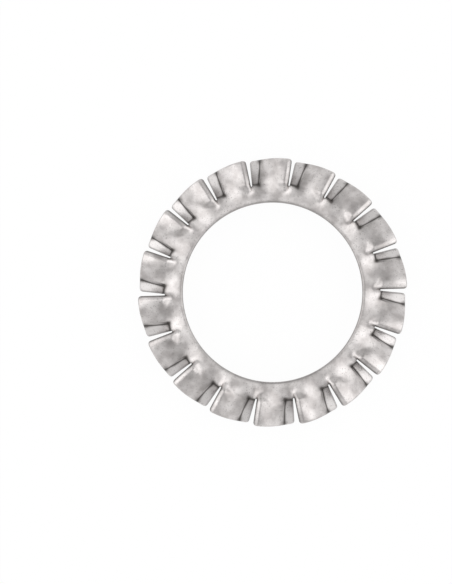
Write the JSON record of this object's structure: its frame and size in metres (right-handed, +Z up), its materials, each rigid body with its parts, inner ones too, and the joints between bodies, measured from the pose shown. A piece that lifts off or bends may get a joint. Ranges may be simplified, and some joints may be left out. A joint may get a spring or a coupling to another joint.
{
  "type": "toothed lock washer",
  "caption": "Flat steel ring with a rim of twisted teeth. It goes under a nut or bolt head, and the teeth bite into both faces so that the joint does not work loose.",
  "frame": {"origin": "centre of the bore, on the plane that the toes of the teeth stand on", "axes": "+Z up along the bore's axis, out of the side on which the heels are raised. +X through the middle of one tooth."},
  "size_m": [0.0256, 0.0258, 0.0034],
  "materials": {
    "stainless_steel": "tumbled stainless steel, pale and faintly mottled, with finer-grained seats on the toes"
  },
  "bodies": {
    "root": {"toothed_washer": "stainless_steel"}
  },
  "joints": []
}
